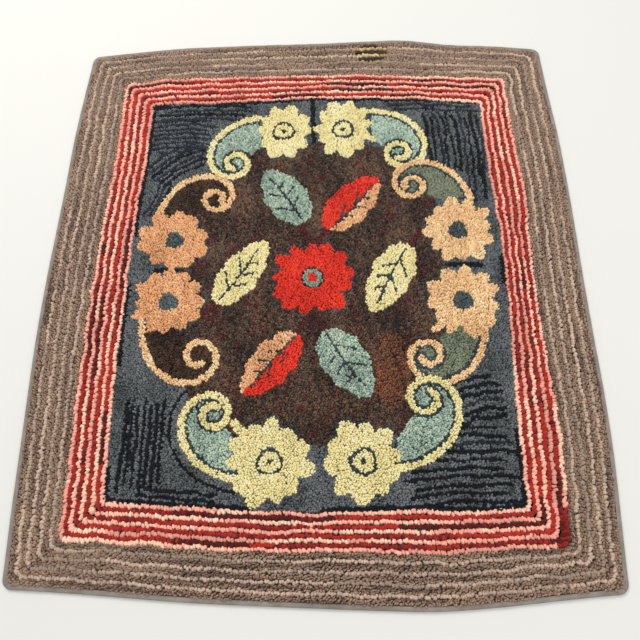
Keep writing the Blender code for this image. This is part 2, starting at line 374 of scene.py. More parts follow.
# The view: the camera's place from the field's centre, its turn, and its lens
CAMERA_PLACE = (0.037, -0.479, 1.0045)
CAMERA_DOWN = 67.94
CAMERA_YAW = 3.61
CAMERA_ROLL = -3.61
LENS = 36.0
SENSOR = 36.0

Line = namedtuple("Line", "distances corner")


def mix(low, high, share):
    return low + (high - low) * share


def linear(colour):
    """Turn a #rrggbb colour into linear red, green, blue and alpha."""
    values = []
    for at in (1, 3, 5):
        value = int(colour[at:at + 2], 16) / 255
        values.append(value / 12.92 if value <= 0.04045 else ((value + 0.055) / 1.055) ** 2.4)
    return (*values, 1.0)


def shade(colour, part):
    """Return a #rrggbb colour as a lighter or darker linear one."""
    return (*(min(value * part, 1.0) for value in linear(colour)[:3]), 1.0)


def drift(x, y, slow, further=0):
    """Return a slow variation over the rug, to either side of zero."""
    waves = np.random.default_rng(slow.pattern + further)
    total = np.zeros(np.shape(x))
    for _ in range(7):
        turn = waves.uniform(0, 2 * np.pi)
        pace = 2 * np.pi * waves.uniform(0.6, 1.5) / slow.length
        total += np.sin((x * np.cos(turn) + y * np.sin(turn)) * pace + waves.uniform(0, 6))
    return slow.size * (total / 2.6)


# Outlines of the rug

def border_share(row):
    """Return how far across the outer border a row starts; brown and tan rows alternate."""
    pairs, rest = divmod(row, 2)
    return (pairs * (BROWN_SHARE + TAN_SHARE) + min(rest, 1) * BROWN_SHARE
            + max(rest - 1, 0) * TAN_SHARE)


def line_at_row(row):
    """Return the line that lies row rows out from the field, in either border."""
    distances = {}
    for side, stations in SIDES.items():
        if row <= BAND_ROWS:
            share = row / BAND_ROWS
            distances[side] = [mix(s.field, s.band, share) for s in stations]
        else:
            share = border_share(row - BAND_ROWS)
            inset = TAPE_FRONT + GAP
            distances[side] = [mix(s.band, s.rim - inset, share) for s in stations]
    rim_corner = RIM_CORNER - CORNER_TIGHTENING * TAPE_FRONT
    corner = mix(FIELD_CORNER, rim_corner, row / (BAND_ROWS + BORDER_ROWS))
    return Line(distances, corner)


def line_inside_rim(inset):
    """Return the line that follows the rim at this distance inside it."""
    distances = {}
    for side, stations in SIDES.items():
        distances[side] = [s.rim - inset for s in stations]
    return Line(distances, RIM_CORNER - CORNER_TIGHTENING * inset)


def pass_through(before, start, end, after, part):
    """Return a place on a smooth curve from start to end, part of the way along it."""
    bend = (2 * before - 5 * start + 4 * end - after) * part ** 2
    twist = (3 * start - before - 3 * end + after) * part ** 3
    return start + 0.5 * ((end - before) * part + bend + twist)


def smooth_value(values, share):
    """Read a smooth curve through evenly spaced values, share of the way along them."""
    place = min(max(share, 0.0), 1.0) * (len(values) - 1)
    at = min(int(place), len(values) - 2)
    before = values[max(at - 1, 0)]
    after = values[min(at + 2, len(values) - 1)]
    return pass_through(before, values[at], values[at + 1], after, place - at)


def side_point(line, side, share, drop):
    """Return a point on one side, drop inside the line, for a rounded corner."""
    near = line.distances["near"]
    far = line.distances["far"]
    left = line.distances["left"]
    right = line.distances["right"]
    out = smooth_value(line.distances[side], share) - drop
    if side == "near":
        return mix(-left[0], right[0], share), -out
    if side == "far":
        return mix(-left[-1], right[-1], share), out
    if side == "left":
        return -out, mix(-near[0], far[0], share)
    return out, mix(-near[-1], far[-1], share)


def side_points(line, side, steps=SIDE_STEPS, end_gap=0.0):
    """Return the points of one side, from corner to corner, left to right or near to far."""
    ends = ("left", "right") if side in ("near", "far") else ("near", "far")
    at = 0 if side in ("near", "left") else -1
    length = line.distances[ends[0]][at] + line.distances[ends[1]][at]
    arc = []
    for angle in CORNER_ANGLES:
        along = line.corner * (1 - math.cos(math.radians(angle)))
        drop = line.corner * (1 - math.sin(math.radians(angle)))
        arc.append((along / length, drop))
    first = arc[-1][0]
    middle = [(mix(first, 1 - first, step / steps), 0.0) for step in range(1, steps)]
    arc[0] = (arc[0][0] + end_gap / length, arc[0][1])
    places = arc + middle + [(1 - along, drop) for along, drop in reversed(arc)]
    return [side_point(line, side, share, drop) for share, drop in places]


def ring_points(line, steps=SIDE_STEPS):
    """Return a line's points all the way round, anticlockwise from its near left corner."""
    points = side_points(line, "near", steps)[:-1]
    points += side_points(line, "right", steps)[:-1]
    points += side_points(line, "far", steps)[:0:-1]
    points += side_points(line, "left", steps)[:0:-1]
    return np.array(points)


def rug_middle():
    """Return the middle of the rim's box, measured from the field's centre."""
    rim = ring_points(line_inside_rim(0.0))
    return (rim.min(0) + rim.max(0)) / 2


MIDDLE = rug_middle()


# The field, drawn in millimetres as the maker draws it on the cloth. Each cell of this
# drawing holds the number of the part that covers it.

ACROSS = np.arange(-337.0, 338.0)
ALONG = np.arange(-393.0, 401.0)


class Drawing:
    """A drawing of the field on cells of one millimetre."""

    def __init__(self):
        self.x, self.y = np.meshgrid(ACROSS, ALONG)
        self.part = np.zeros(self.x.shape, int)

    def window(self, points, margin):
        """Return the part of the drawing that lies round some points."""
        low = np.min(points, axis=0)[:2] - margin
        high = np.max(points, axis=0)[:2] + margin
        columns = slice(*np.searchsorted(ACROSS, (low[0], high[0])))
        rows = slice(*np.searchsorted(ALONG, (low[1], high[1])))
        return rows, columns

    def paint(self, window, inside, name, over=None):
        """Give the cells inside a shape to a part, or only those of another part."""
        cells = self.part[window]
        allowed = cells > 0 if over is None else cells == PARTS.index(over)
        cells[inside & allowed] = PARTS.index(name)

    def paint_all(self, inside, name, over=None):
        self.paint((slice(None), slice(None)), inside, name, over)

    def stroke(self, points, half, name, over=None):
        """Draw a band of even width through a few points."""
        line = smooth_line([(*point, half) for point in points])
        window = self.window(line, half + 2)
        away = outside_band(line, self.x[window], self.y[window])
        self.paint(window, away < 0, name, over)

    def numbers_at(self, x, y):
        """Return the numbers of the parts at some places, given in metres."""
        column = np.rint(x * 1000 - ACROSS[0]).astype(int)
        row = np.rint(y * 1000 - ALONG[0]).astype(int)
        found = (column >= 0) & (column < len(ACROSS)) & (row >= 0) & (row < len(ALONG))
        parts = np.zeros(len(x), int)
        parts[found] = self.part[row[found], column[found]]
        return parts


def inside_ring(points, x, y):
    """Tell which places lie inside a closed line, however often it goes round them."""
    winding = np.zeros(x.shape, int)
    for (x0, y0), (x1, y1) in zip(points, np.roll(points, -1, axis=0)):
        if y0 == y1:
            continue
        crosses = (y >= min(y0, y1)) & (y < max(y0, y1))
        at = x0 + (y - y0) * (x1 - x0) / (y1 - y0)
        winding += np.where(crosses & (x < at), 1 if y1 > y0 else -1, 0)
    return winding != 0


def outside_band(line, x, y):
    """Return how far places lie outside a band; each point has half the width there."""
    best = np.full(x.shape, 1000.0)
    for (x0, y0, half0), (x1, y1, half1) in zip(line, line[1:]):
        length = (x1 - x0) ** 2 + (y1 - y0) ** 2 + 1e-9
        share = np.clip(((x - x0) * (x1 - x0) + (y - y0) * (y1 - y0)) / length, 0, 1)
        away = np.hypot(x - x0 - share * (x1 - x0), y - y0 - share * (y1 - y0))
        best = np.minimum(best, away - mix(half0, half1, share))
    return best


def smooth_line(points, step=3.0):
    """Return closely spaced points on a smooth curve through a few."""
    points = np.array(points, float)
    ends = np.vstack((2 * points[0] - points[1], points, 2 * points[-1] - points[-2]))
    curve = []
    for before, start, end, after in zip(ends, ends[1:], ends[2:], ends[3:]):
        count = max(2, int(np.hypot(*(end - start)[:2]) / step))
        for part in np.arange(count) / count:
            curve.append(pass_through(before, start, end, after, part))
    curve.append(points[-1])
    return np.array(curve)


def curl_line(scroll):
    """Return a scroll's outline, which turns ever faster towards the end of its curl."""
    steps = int(scroll.length / CURL_STEP)
    share = (np.arange(steps) + 0.5) / steps
    turned = EVEN_TURN * share + (1 - EVEN_TURN) * share ** CURL
    heading = np.radians(scroll.heading + scroll.turn * turned)
    strides = np.column_stack((np.cos(heading), np.sin(heading))) * scroll.length / steps
    points = np.array(scroll.start) + np.vstack(((0, 0), np.cumsum(strides, axis=0)))
    swell = SCROLL_UNEVEN * np.sin(SWELL_PACE * np.arange(len(points)))
    halves = SCROLL_HALF * (1 + swell)
    return np.column_stack((points, halves))


def draw_patch(drawing, patch, uneven):
    """Draw the darker rows of a patch of the ground."""
    turn = math.radians(patch.turn)
    ahead = np.array((math.cos(turn), math.sin(turn)))
    aside = np.array((-ahead[1], ahead[0]))
    for offset in np.arange(-patch.half_stack, patch.half_stack + 1, patch.pitch):
        draw = uneven.random()
        start, end = patch.half_row * uneven.uniform(*ROW_REACH, 2)
        sway = patch.pitch * uneven.uniform(-ROW_SWAY, ROW_SWAY, ROW_POINTS)
        if draw < patch.navy:
            name, half = "navy_ground", uneven.uniform(*NAVY_HALF)
        elif draw < patch.navy + patch.dusk:
            name, half = "dusk_ground", uneven.uniform(*DUSK_HALF)
        else:
            continue
        along = np.linspace(-start, end, ROW_POINTS)
        across = offset + patch.bow * (1 - (along / patch.half_row) ** 2) + sway
        points = np.array(patch.middle) + along[:, None] * ahead + across[:, None] * aside
        drawing.stroke(points, half, name, over="slate_ground")


def draw_ground(drawing):
    """Draw the slate, its darker rows, the brown oval and its rust patch."""
    x, y = drawing.x, drawing.y
    edge = ring_points(line_at_row(0)) * 1000
    drawing.part[inside_ring(edge, x, y)] = PARTS.index("slate_ground")
    uneven = np.random.default_rng(PATCH_SEED)
    for patch in PATCHES:
        draw_patch(drawing, patch, uneven)
    closed = np.vstack((edge, edge[:1]))[::EDGE_SKIP]
    from_edge = outside_band(np.column_stack((closed, np.zeros(len(closed)))), x, y)
    dark = drift(x / 1000, y / 1000, EDGE_CHANGE) > EDGE_LEVEL
    drawing.paint_all((from_edge < EDGE_ROW) & dark, "navy_ground")
    for first, second, half_row in PAIRS:
        here, there = (np.array(FLOWERS[at].centre, float) for at in (first, second))
        way = (there - here)[::-1] * (1, -1) / np.hypot(*(there - here))
        middle = (here + there) / 2
        row = (middle - way * half_row, middle, middle + way * half_row)
        drawing.stroke(row, PAIR_HALF, "navy_ground")
    across = np.abs(x / OVAL_HALF[0]) ** OVAL_POWER
    along = np.abs(y / OVAL_HALF[1]) ** OVAL_POWER
    drawing.paint_all(across + along < 1, "medallion")
    across = (x - RUST_CENTRE[0]) / RUST_HALF[0]
    along = (y - RUST_CENTRE[1]) / RUST_HALF[1]
    drawing.paint_all(across ** 2 + along ** 2 < 1, "rust", over="medallion")


def draw_scroll(drawing, scroll):
    """Draw a scroll: the space that its outline goes round, then the outline."""
    line = curl_line(scroll)
    window = drawing.window(line, 24)
    x, y = drawing.x[window], drawing.y[window]
    away = outside_band(line, x, y)
    if SCROLLS.index(scroll) in ECHOED_SCROLLS:
        echo = (away > ECHO[0]) & (away < ECHO[1])
        drawing.paint(window, echo, "navy_ground", over="slate_ground")
    inside = inside_ring(np.vstack((line[:, :2], scroll.back)), x, y)
    drawing.paint(window, inside, "outline_slate" if scroll.lined else scroll.fill)
    edge = [(*scroll.back, 0), (*scroll.start, 0)]
    clear = (away > LINING) & (outside_band(edge, x, y) > LINING)
    drawing.paint(window, inside & clear, scroll.fill)
    drawing.paint(window, away < 0, scroll.outline)


def draw_flower(drawing, flower):
    """Draw a flower: petals round a core, and its heart."""
    window = drawing.window([flower.centre], 95)
    x = drawing.x[window] - flower.centre[0]
    y = drawing.y[window] - flower.centre[1]
    reach = np.hypot(x, y)
    angle = np.degrees(np.arctan2(y, x))
    core = CORE * flower.reach
    edge = np.full(x.shape, core)
    uneven = np.random.default_rng(PETAL_SEED + FLOWERS.index(flower))
    each = 360 / flower.petals
    for petal in range(flower.petals):
        turn = flower.turn + each * (petal + uneven.uniform(-PETAL_SHIFT, PETAL_SHIFT))
        tip = flower.reach * uneven.uniform(*PETAL_REACH)
        spread = each * uneven.uniform(*PETAL_SPREAD)
        off = np.abs((angle - turn + 180) % 360 - 180) / spread
        petal_edge = core + (tip - core) * (1 - np.minimum(off, 1) ** PETAL_POINT)
        edge = np.maximum(edge, np.where(off < 1, petal_edge, 0))
    edge *= 1 - flower.narrow * np.cos(np.radians(angle)) ** 2
    drawing.paint(window, reach < edge + HALO, "halo", over="medallion")
    drawing.paint(window, reach < edge, flower.yarn)
    wobble = 1 + 0.07 * np.sin(np.radians(3 * angle) + flower.centre[0])
    if flower.heart == "ring":
        drawing.paint(window, np.abs(reach / wobble - RING_RADIUS) < RING_HALF, "outline_slate")
        drawing.paint(window, reach < DOT_RADIUS, "outline_slate")
    if flower.heart == "disc":
        drawing.paint(window, reach < DISC_RADIUS * wobble, "disc_slate")
    if flower.heart == "eye":
        for yarn, radius in EYE_RADII:
            drawing.paint(window, reach < radius, yarn)


def draw_leaf(drawing, leaf):
    """Draw a leaf, wider towards its base and slightly lobed, with its veins."""
    base = np.array(leaf.base, float)
    axis = np.subtract(leaf.tip, base)
    normal = np.array((-axis[1], axis[0])) / np.hypot(*axis) * leaf.half_width
    window = drawing.window([leaf.base, leaf.tip], 45)
    x = drawing.x[window] - base[0]
    y = drawing.y[window] - base[1]
    along = (x * axis[0] + y * axis[1]) / np.dot(axis, axis)
    across = (x * normal[0] + y * normal[1]) / np.dot(normal, normal)
    body = np.sin(np.pi * np.clip(along, 0, 1) ** SHOULDER) ** FULLNESS
    body *= 1 + LOBE * np.sin(2 * np.pi * LOBES * along + np.sign(across))
    inside = (np.abs(across) < body) & (along > 0) & (along < 1)
    drawing.paint(window, inside & (across >= leaf.part), leaf.left)
    drawing.paint(window, inside & (across < leaf.part), leaf.right)

    def place(share, side):
        return tuple(base + share * axis + side * normal)

    spine = [place(share, leaf.part + side) for share, side in SPINE]
    drawing.stroke(spine, VEIN_HALF, leaf.veins)
    for start, end, side in SIDE_VEINS:
        if leaf.left != leaf.right:
            side = leaf.part + side * (SPLIT_REACH[0] if side > 0 else SPLIT_REACH[1])
        vein = (place(start, leaf.part), place(end, side))
        drawing.stroke(vein, VEIN_HALF * SIDE_VEIN, leaf.veins)


def draw_field():
    """Draw the whole field."""
    drawing = Drawing()
    draw_ground(drawing)
    for streak in LINKS:
        drawing.stroke(streak.points, streak.half, streak.yarn)
    for scroll in SCROLLS:
        draw_scroll(drawing, scroll)
    for streak in LINKS:
        if streak.yarn != "wine":
            drawing.stroke(streak.points, streak.half, streak.yarn)
    for flower in FLOWERS:
        draw_flower(drawing, flower)
    for leaf in LEAVES:
        draw_leaf(drawing, leaf)
    return drawing


# Loops: columns of places, directions, sizes, heights, tones and yarns

YARN_NAMES = tuple(YARNS)


def heights(x, y):
    """Return how high each loop stands."""
    return LOOP_TOP + drift(x, y, SWELL) + LOOP_UNEVEN * chance.uniform(-1, 1, len(x))


def stretches(count):
    """Return a tone for each loop of a row: the yarn's own shade changes by stretches."""
    tones = np.empty(count)
    at = 0
    while at < count:
        stretch = int(chance.integers(*STRETCH))
        dark = chance.random() < DARK_SHARE
        tones[at:at + stretch] = DARK_TONE if dark else chance.uniform(*STRETCH_TONES)
        at += stretch
    return np.clip(tones + chance.normal(0, ROW_TONES, count), 0, 1)


def walk(points, step):
    """Return evenly spaced places round a closed line, with the way it runs at each."""
    points = np.vstack((points, points[:1]))
    reach = np.concatenate(([0.0], np.cumsum(np.hypot(*np.diff(points, axis=0).T))))
    count = int(round(reach[-1] / step))
    at = (np.arange(count) + 0.5) / count * reach[-1]
    x = np.interp(at, reach, points[:, 0])
    y = np.interp(at, reach, points[:, 1])
    run_x = np.interp(at + 0.001, reach, points[:, 0]) - np.interp(at - 0.001, reach, points[:, 0])
    run_y = np.interp(at + 0.001, reach, points[:, 1]) - np.interp(at - 0.001, reach, points[:, 1])
    return x, y, np.arctan2(run_y, run_x), at / reach[-1]


def hook_border_row(row, start, end, step):
    """Return a line of loops round the borders, between two shares of a row's width."""
    middle = row + (start + end) / 2
    x, y, angle, along = walk(ring_points(line_at_row(middle)), step)
    width = ring_points(line_at_row(row + end)) - ring_points(line_at_row(row + start))
    width = np.hypot(*width.T)
    width = np.interp(along, np.linspace(0, 1, len(width), endpoint=False), width)
    width = np.minimum(width, WIDEST_LOOP)
    count = len(x)
    shift = BORDER_SHIFT * chance.normal(0, 1, count) + ZIGZAG * (-1) ** np.arange(count)
    shift += drift(x, y, BORDER_SWAY) + drift(x, y, LONE_SWAY, row)
    slip = step * chance.uniform(-SLIP, SLIP, count)
    x = x - np.sin(angle) * shift + np.cos(angle) * slip
    y = y + np.cos(angle) * shift + np.sin(angle) * slip
    half_along = step * chance.uniform(*BORDER_ALONG, count)
    half_across = width * chance.uniform(*BORDER_ACROSS, count)
    top = heights(x, y)
    tones = stretches(count)
    yarns = np.full(count, YARN_NAMES.index(row_yarn(row)))
    if row in OUTER_PINK_ROWS:
        red = (x > RED_CORNER[0]) & (y < RED_CORNER[1]) & (y + x < RED_CORNER[2])
        yarns[red] = YARN_NAMES.index("red_band")
    wear_and_painted_shade = ((x - WORN_CENTRE[0]) / WORN_HALF[0]) ** 2 + ((y - WORN_CENTRE[1]) / WORN_HALF[1]) ** 2 < 1
    # Brown loops here are worn to stubs and given dark scroll brown yarn, painted shade for the gaps
    # they leave
    if row_yarn(row) == "brown_border":
        yarns[wear_and_painted_shade] = YARN_NAMES.index("scroll_brown")
        top[wear_and_painted_shade] = mix(CLOTH_TOP, top[wear_and_painted_shade], GONE)
    else:
        yarns[wear_and_painted_shade] = YARN_NAMES.index("worn_jute")
        top[wear_and_painted_shade] = mix(CLOTH_TOP, top[wear_and_painted_shade], RUBBED)
    angle = angle + SLANT + chance.normal(0, TURN_UNEVEN, count)
    return np.column_stack((x, y, angle, half_along, half_across, top, tones, yarns))


def row_yarn(row):
    if row < BAND_ROWS:
        return "red_band" if row % 2 else "pink_band"
    return "tan_border" if (row - BAND_ROWS) % 2 else "brown_border"


def hook_borders():
    """Return the loops of the narrow rows, and those of the wide brown rows."""
    narrow = []
    wide = []
    for row in range(BAND_ROWS + BORDER_ROWS):
        if row_yarn(row) == "brown_border":
            for line in range(BROWN_LINES):
                start = line / BROWN_LINES
                wide.append(hook_border_row(row, start, start + 1 / BROWN_LINES, BROWN_STEP))
        else:
            narrow.append(hook_border_row(row, 0.0, 1.0, BORDER_STEP))
    return np.vstack(narrow), np.vstack(wide)


def field_loops(drawing, x, y, angle, half_along, half_across):
    """Return loops at these places of the field, with the yarn that the drawing asks for."""
    parts = drawing.numbers_at(x, y)
    yarns = np.full(len(x), -1)
    for number, name in enumerate(PARTS):
        here = np.flatnonzero(parts == number)
        if name in YARNS:
            yarns[here] = YARN_NAMES.index(name)
        elif name in MIXES:
            names, shares = zip(*MIXES[name])
            numbers = [YARN_NAMES.index(one) for one in names]
            yarns[here] = chance.choice(numbers, len(here), p=shares)
    reddish = (drift(x, y, REDDENING) > RED_LEVEL) & (chance.random(len(x)) < RED_SHARE)
    yarns[reddish & (parts == PARTS.index("medallion"))] = YARN_NAMES.index("wine")
    count = len(x)
    tones = USUAL_TONE + drift(x, y, BLOTCHES) + drift(x, y, SPECKS)
    tones = np.clip(tones + chance.normal(0, FIELD_TONES, count), 0, 1)
    half_along = half_along * chance.uniform(*FIELD_SIZES, count)
    half_across = half_across * chance.uniform(*FIELD_SIZES, count)
    loops = np.column_stack((x, y, angle, half_along, half_across, heights(x, y), tones, yarns))
    return loops[yarns >= 0]


def hook_fill(drawing):
    """Return the loops of the field, closely but unevenly filled."""
    levels = np.arange(ALONG[0], ALONG[-1], TUFT * 1000 * math.sqrt(3) / 2) / 1000
    steps = np.arange(ACROSS[0], ACROSS[-1], TUFT * 1000) / 1000
    x, y = np.meshgrid(steps, levels)
    x = x + (np.arange(len(levels)) % 2)[:, None] * TUFT / 2
    x, y = x.ravel(), y.ravel()
    x = x + chance.normal(0, TUFT_SHIFT, len(x)) + drift(x, y, FILL_ACROSS)
    y = y + chance.normal(0, TUFT_SHIFT, len(y)) + drift(x, y, FILL_ALONG)
    half = TUFT_WIDE * TUFT
    angle = chance.uniform(0, np.pi, len(x))
    return field_loops(drawing, x, y, angle, half, half)


# A loop is a rounded arch of yarn: rings of points and a cap, open where it enters the
# cloth. Each ring is a share of the loop's half width and of its height.
LOOP_SIDES = 5
FIELD_RINGS = ((1.20, -0.05), (0.62, 0.96))
BORDER_RINGS = ((0.95, -0.05), (1.0, 0.55), (0.60, 0.97))


def loop_shape(rings):
    """Return a loop's points, as direction, share and height, and its faces."""
    corners = []
    for share, height in rings:
        for side in range(LOOP_SIDES):
            angle = 2 * math.pi * (side + 0.5) / LOOP_SIDES
            corners.append((share * math.cos(angle), share * math.sin(angle), height))
    faces = []
    for ring in range(len(rings) - 1):
        for side in range(LOOP_SIDES):
            after = (side + 1) % LOOP_SIDES
            low = ring * LOOP_SIDES
            high = low + LOOP_SIDES
            faces.append((low + side, low + after, high + after, high + side))
    cap = (len(rings) - 1) * LOOP_SIDES
    return np.array(corners), faces, tuple(range(cap, cap + LOOP_SIDES))


def make_loops(name, loops, rings, material):
    """Make loops of one yarn as one mesh."""
    corners, faces, cap = loop_shape(rings)
    x, y, angle, half_along, half_across, top, tone, yarn = loops.T
    count = len(loops)
    along = corners[:, 0] * half_along[:, None]
    across = corners[:, 1] * half_across[:, None]
    cosine, sine = np.cos(angle)[:, None], np.sin(angle)[:, None]
    height = corners[:, 2]
    lean = chance.normal(0, LEAN, (count, 2, 1)) * height
    places = np.empty((count, len(corners), 3))
    places[:, :, 0] = (x - MIDDLE[0])[:, None] + along * cosine - across * sine + lean[:, 0]
    places[:, :, 1] = (y - MIDDLE[1])[:, None] + along * sine + across * cosine + lean[:, 1]
    places[:, :, 2] = CLOTH_TOP + height * (top - CLOTH_TOP)[:, None]
    places += chance.normal(0, LUMP, places.shape) * (height > FOOT)[None, :, None]
    starts = np.arange(count)[:, None, None] * len(corners)
    sides = (np.array(faces)[None] + starts).reshape(-1, 4)
    caps = (np.array(cap)[None] + starts[:, :, 0]).reshape(-1, LOOP_SIDES)
    mesh = bpy.data.meshes.new(name)
    mesh.from_pydata(places.reshape(-1, 3).tolist(), [], sides.tolist() + caps.tolist())
    tones = mesh.attributes.new("tone", "FLOAT", "POINT")
    tones.data.foreach_set("value", np.repeat(tone, len(corners)).astype(np.float32))
    mesh.shade_smooth()
    lay_bake_map(mesh)
    mesh.materials.append(material)
    return link(name, mesh)


def lay_bake_map(mesh):
    """Lay the piece flat in a map seen from above, for its colours."""
    points = np.empty(len(mesh.vertices) * 3, np.float32)
    mesh.vertices.foreach_get("co", points)
    points = points.reshape(-1, 3)
    corners = np.empty(len(mesh.loops), np.int32)
    mesh.loops.foreach_get("vertex_index", corners)
    low, high = points.min(0), points.max(0)
    flat = (points[:, :2] - low[:2]) / (high[:2] - low[:2])
    layer = mesh.uv_layers.new(name="OFBake")
    layer.data.foreach_set("uv", flat[corners].ravel().astype(np.float32))


def link(name, mesh):
    piece = bpy.data.objects.new(name, mesh)
    bpy.context.scene.collection.objects.link(piece)
    return piece


# Finishes

def add_node(tree, kind, **values):
    node = tree.nodes.new(kind)
    for key, value in values.items():
        setattr(node, key, value)
    return node


def new_material(name, roughness, sheen):
    material = bpy.data.materials.new(name)
    material.use_nodes = True
    tree = material.node_tree
    shader = tree.nodes["Principled BSDF"]
    shader.inputs["Roughness"].default_value = roughness
    shader.inputs["Sheen Weight"].default_value = sheen
    shader.inputs["Specular IOR Level"].default_value = 0.25
    return material, tree, shader


def add_ramp(tree, factor, stops):
    """Colour a value by a few stops of position and linear colour."""
    ramp = add_node(tree, "ShaderNodeValToRGB")
    elements = ramp.color_ramp.elements
    elements[0].position, elements[0].color = stops[0]
    elements[1].position, elements[1].color = stops[-1]
    for position, colour in stops[1:-1]:
        elements.new(position).color = colour
    tree.links.new(factor, ramp.inputs["Fac"])
    return ramp.outputs["Color"]


def add_noise(tree, place, scale, detail):
    noise = add_node(tree, "ShaderNodeTexNoise")
    noise.inputs["Scale"].default_value = scale
    noise.inputs["Detail"].default_value = detail
    tree.links.new(place, noise.inputs["Vector"])
    return noise.outputs["Fac"]


def add_range(tree, value, start, end, low, high):
    mapped = add_node(tree, "ShaderNodeMapRange")
    mapped.inputs["From Min"].default_value = start
    mapped.inputs["From Max"].default_value = end
    mapped.inputs["To Min"].default_value = low
    mapped.inputs["To Max"].default_value = high
    tree.links.new(value, mapped.inputs["Value"])
    return mapped.outputs["Result"]


def add_bump(tree, shader, height, strength, distance):
    bump = add_node(tree, "ShaderNodeBump")
    bump.inputs["Strength"].default_value = strength
    bump.inputs["Distance"].default_value = distance
    tree.links.new(height, bump.inputs["Height"])
    tree.links.new(bump.outputs["Normal"], shader.inputs["Normal"])


def add_mix(tree, blend, factor, first, second):
    """Blend two colours; the factor and the second colour may be plain values."""
    mixer = add_node(tree, "ShaderNodeMix", data_type="RGBA", blend_type=blend)
    tree.links.new(first, mixer.inputs["A"])
    for value, socket in ((factor, mixer.inputs["Factor"]), (second, mixer.inputs["B"])):
        if isinstance(value, (float, tuple)):
            socket.default_value = value
        else:
            tree.links.new(value, socket)
    return mixer.outputs["Result"]


def yarn_material(name, yarn):
    """Wool yarn: shade by the stretch, flecks, painted shade down between the loops, and fluff."""
    material, tree, shader = new_material(name, 0.92, 0.15)
    place = add_node(tree, "ShaderNodeTexCoord").outputs["Object"]
    tone = add_node(tree, "ShaderNodeAttribute", attribute_name="tone").outputs["Fac"]
    dark = shade(yarn.usual, yarn.dark)
    stops = ((0.15, dark), (0.5, linear(yarn.usual)), (0.95, linear(yarn.light)))
    colour = add_ramp(tree, tone, stops)
    flecks = add_noise(tree, place, FLECK_SCALE, 3.0)
    amount = 0.3 * yarn.fleck_share
    flecks = add_range(tree, flecks, 0.68 - amount, 0.84 - amount, 0.0, 0.8)
    colour = add_mix(tree, "MIX", flecks, colour, shade(yarn.usual, FLECK_SHADE * yarn.dark))
    # Painted shade: the colour darkens towards the cloth, down between the loops
    parted = add_node(tree, "ShaderNodeSeparateXYZ")
    tree.links.new(place, parted.inputs["Vector"])
    painted_shade = add_range(tree, parted.outputs["Z"], PAINTED_SHADE_FROM, PAINTED_SHADE_TO, DEEPEST_PAINTED_SHADE, 1.0)
    colour = add_mix(tree, "MULTIPLY", 1.0, colour, painted_shade)
    fibres = add_range(tree, add_noise(tree, place, FIBRE_SCALE, 2.0), 0.35, 0.65, 0.88, 1.0)
    colour = add_mix(tree, "MULTIPLY", 1.0, colour, fibres)
    tree.links.new(colour, shader.inputs["Base Color"])
    add_bump(tree, shader, add_noise(tree, place, FLUFF_SCALE, 2.0), 0.5, 0.0006)
    return material


def weave_material(name, colours, threads, strength):
    """Plain woven cloth: crossing threads as bump, with a mottled colour that is darker where the
    threads dip, painted shade between them.
    """
    material, tree, shader = new_material(name, 0.9, 0.1)
    place = add_node(tree, "ShaderNodeTexCoord").outputs["Object"]
    mottle = add_noise(tree, place, 45.0, 5.0)
    colour = add_ramp(tree, mottle, ((0.3, linear(colours[0])), (0.7, linear(colours[1]))))
    waves = []
    for direction in ("X", "Y"):
        wave = add_node(tree, "ShaderNodeTexWave", bands_direction=direction)
        wave.inputs["Scale"].default_value = threads
        wave.inputs["Distortion"].default_value = 0.6
        tree.links.new(place, wave.inputs["Vector"])
        waves.append(wave.outputs["Fac"])
    woven = add_node(tree, "ShaderNodeMath", operation="MAXIMUM")
    tree.links.new(waves[0], woven.inputs[0])
    tree.links.new(waves[1], woven.inputs[1])
    # Painted shade: the colour darkens where the threads dip, between them
    colour = add_mix(tree, "MULTIPLY", 0.5, colour, woven.outputs["Value"])
    tree.links.new(colour, shader.inputs["Base Color"])
    add_bump(tree, shader, woven.outputs["Value"], strength, 0.0004)
    return material


# Foundation and binding

def make_foundation():
    """Make the jute cloth that the loops are hooked through, out to inside the tape."""
    lip_under = TAPE + GAP
    rows = (
        (line_inside_rim(TAPE_BACK + lip_under + CLOTH_INNER_RING), CLOTH_TOP),
        (line_inside_rim(CLOTH_RING), CLOTH_TOP),
        (line_inside_rim(TAPE_BACK + lip_under), CLOTH_TOP),
        (line_inside_rim(TAPE_FRONT + GAP), lip_under + CLOTH_TOP),
        (line_inside_rim(TAPE + GAP), lip_under + CLOTH_TOP),
        (line_inside_rim(TAPE + GAP), lip_under),
        (line_inside_rim(TAPE_BACK + GAP), lip_under),
        (line_inside_rim(TAPE_BACK + lip_under), CLOTH_LOW),
        (line_inside_rim(CLOTH_RING), CLOTH_LOW),
        (line_inside_rim(TAPE_BACK + lip_under + CLOTH_INNER_RING), CLOTH_LOW),
    )
    points = []
    faces = []
    count = 0
    for line, height in rows:
        ring = ring_points(line, CLOTH_STEPS)
        count = len(ring)
        points += [(x - MIDDLE[0], y - MIDDLE[1], height) for x, y in ring]
    for ring in range(len(rows) - 1):
        for at in range(count):
            after = (at + 1) % count
            inner = ring * count
            outer = inner + count
            faces.append((inner + at, outer + at, outer + after, inner + after))
    faces.append(tuple(range(count)))
    last = (len(rows) - 1) * count
    faces.append(tuple(range(last + count - 1, last - 1, -1)))
    mesh = bpy.data.meshes.new("foundation")
    mesh.from_pydata(points, [], faces)
    mesh.materials.append(weave_material("jute foundation", ("#4a3a28", "#6e5839"), 260.0, 0.8))
    return link("foundation", mesh)


